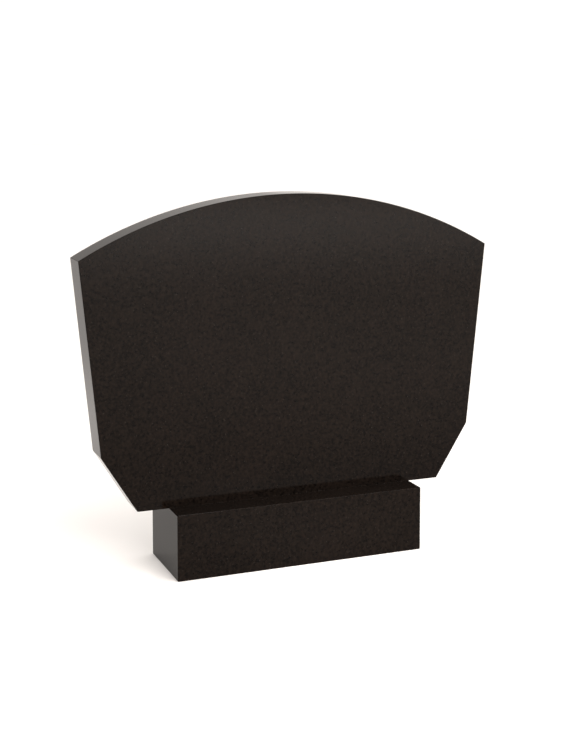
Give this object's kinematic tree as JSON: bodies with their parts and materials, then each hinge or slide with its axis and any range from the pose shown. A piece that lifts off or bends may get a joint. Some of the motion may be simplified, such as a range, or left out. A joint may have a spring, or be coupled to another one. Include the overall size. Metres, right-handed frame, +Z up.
{
  "type": "headstone",
  "caption": "Upright polished dark granite slab with an arched top and tapered sides, blank on its face, standing on a plain rectangular base block.",
  "frame": {"origin": "on the ground, at the middle of the base block's underside", "axes": "+X to the reader's right along the slab's width, +Y from the inscription face to the back, +Z up"},
  "size_m": [0.9996, 0.2, 0.85],
  "materials": {
    "base_granite": "polished dark granite, honed on its back",
    "slab_granite": "polished dark granite, honed on its back"
  },
  "bodies": {
    "root": {"base": "base_granite", "slab": "slab_granite"}
  },
  "joints": []
}
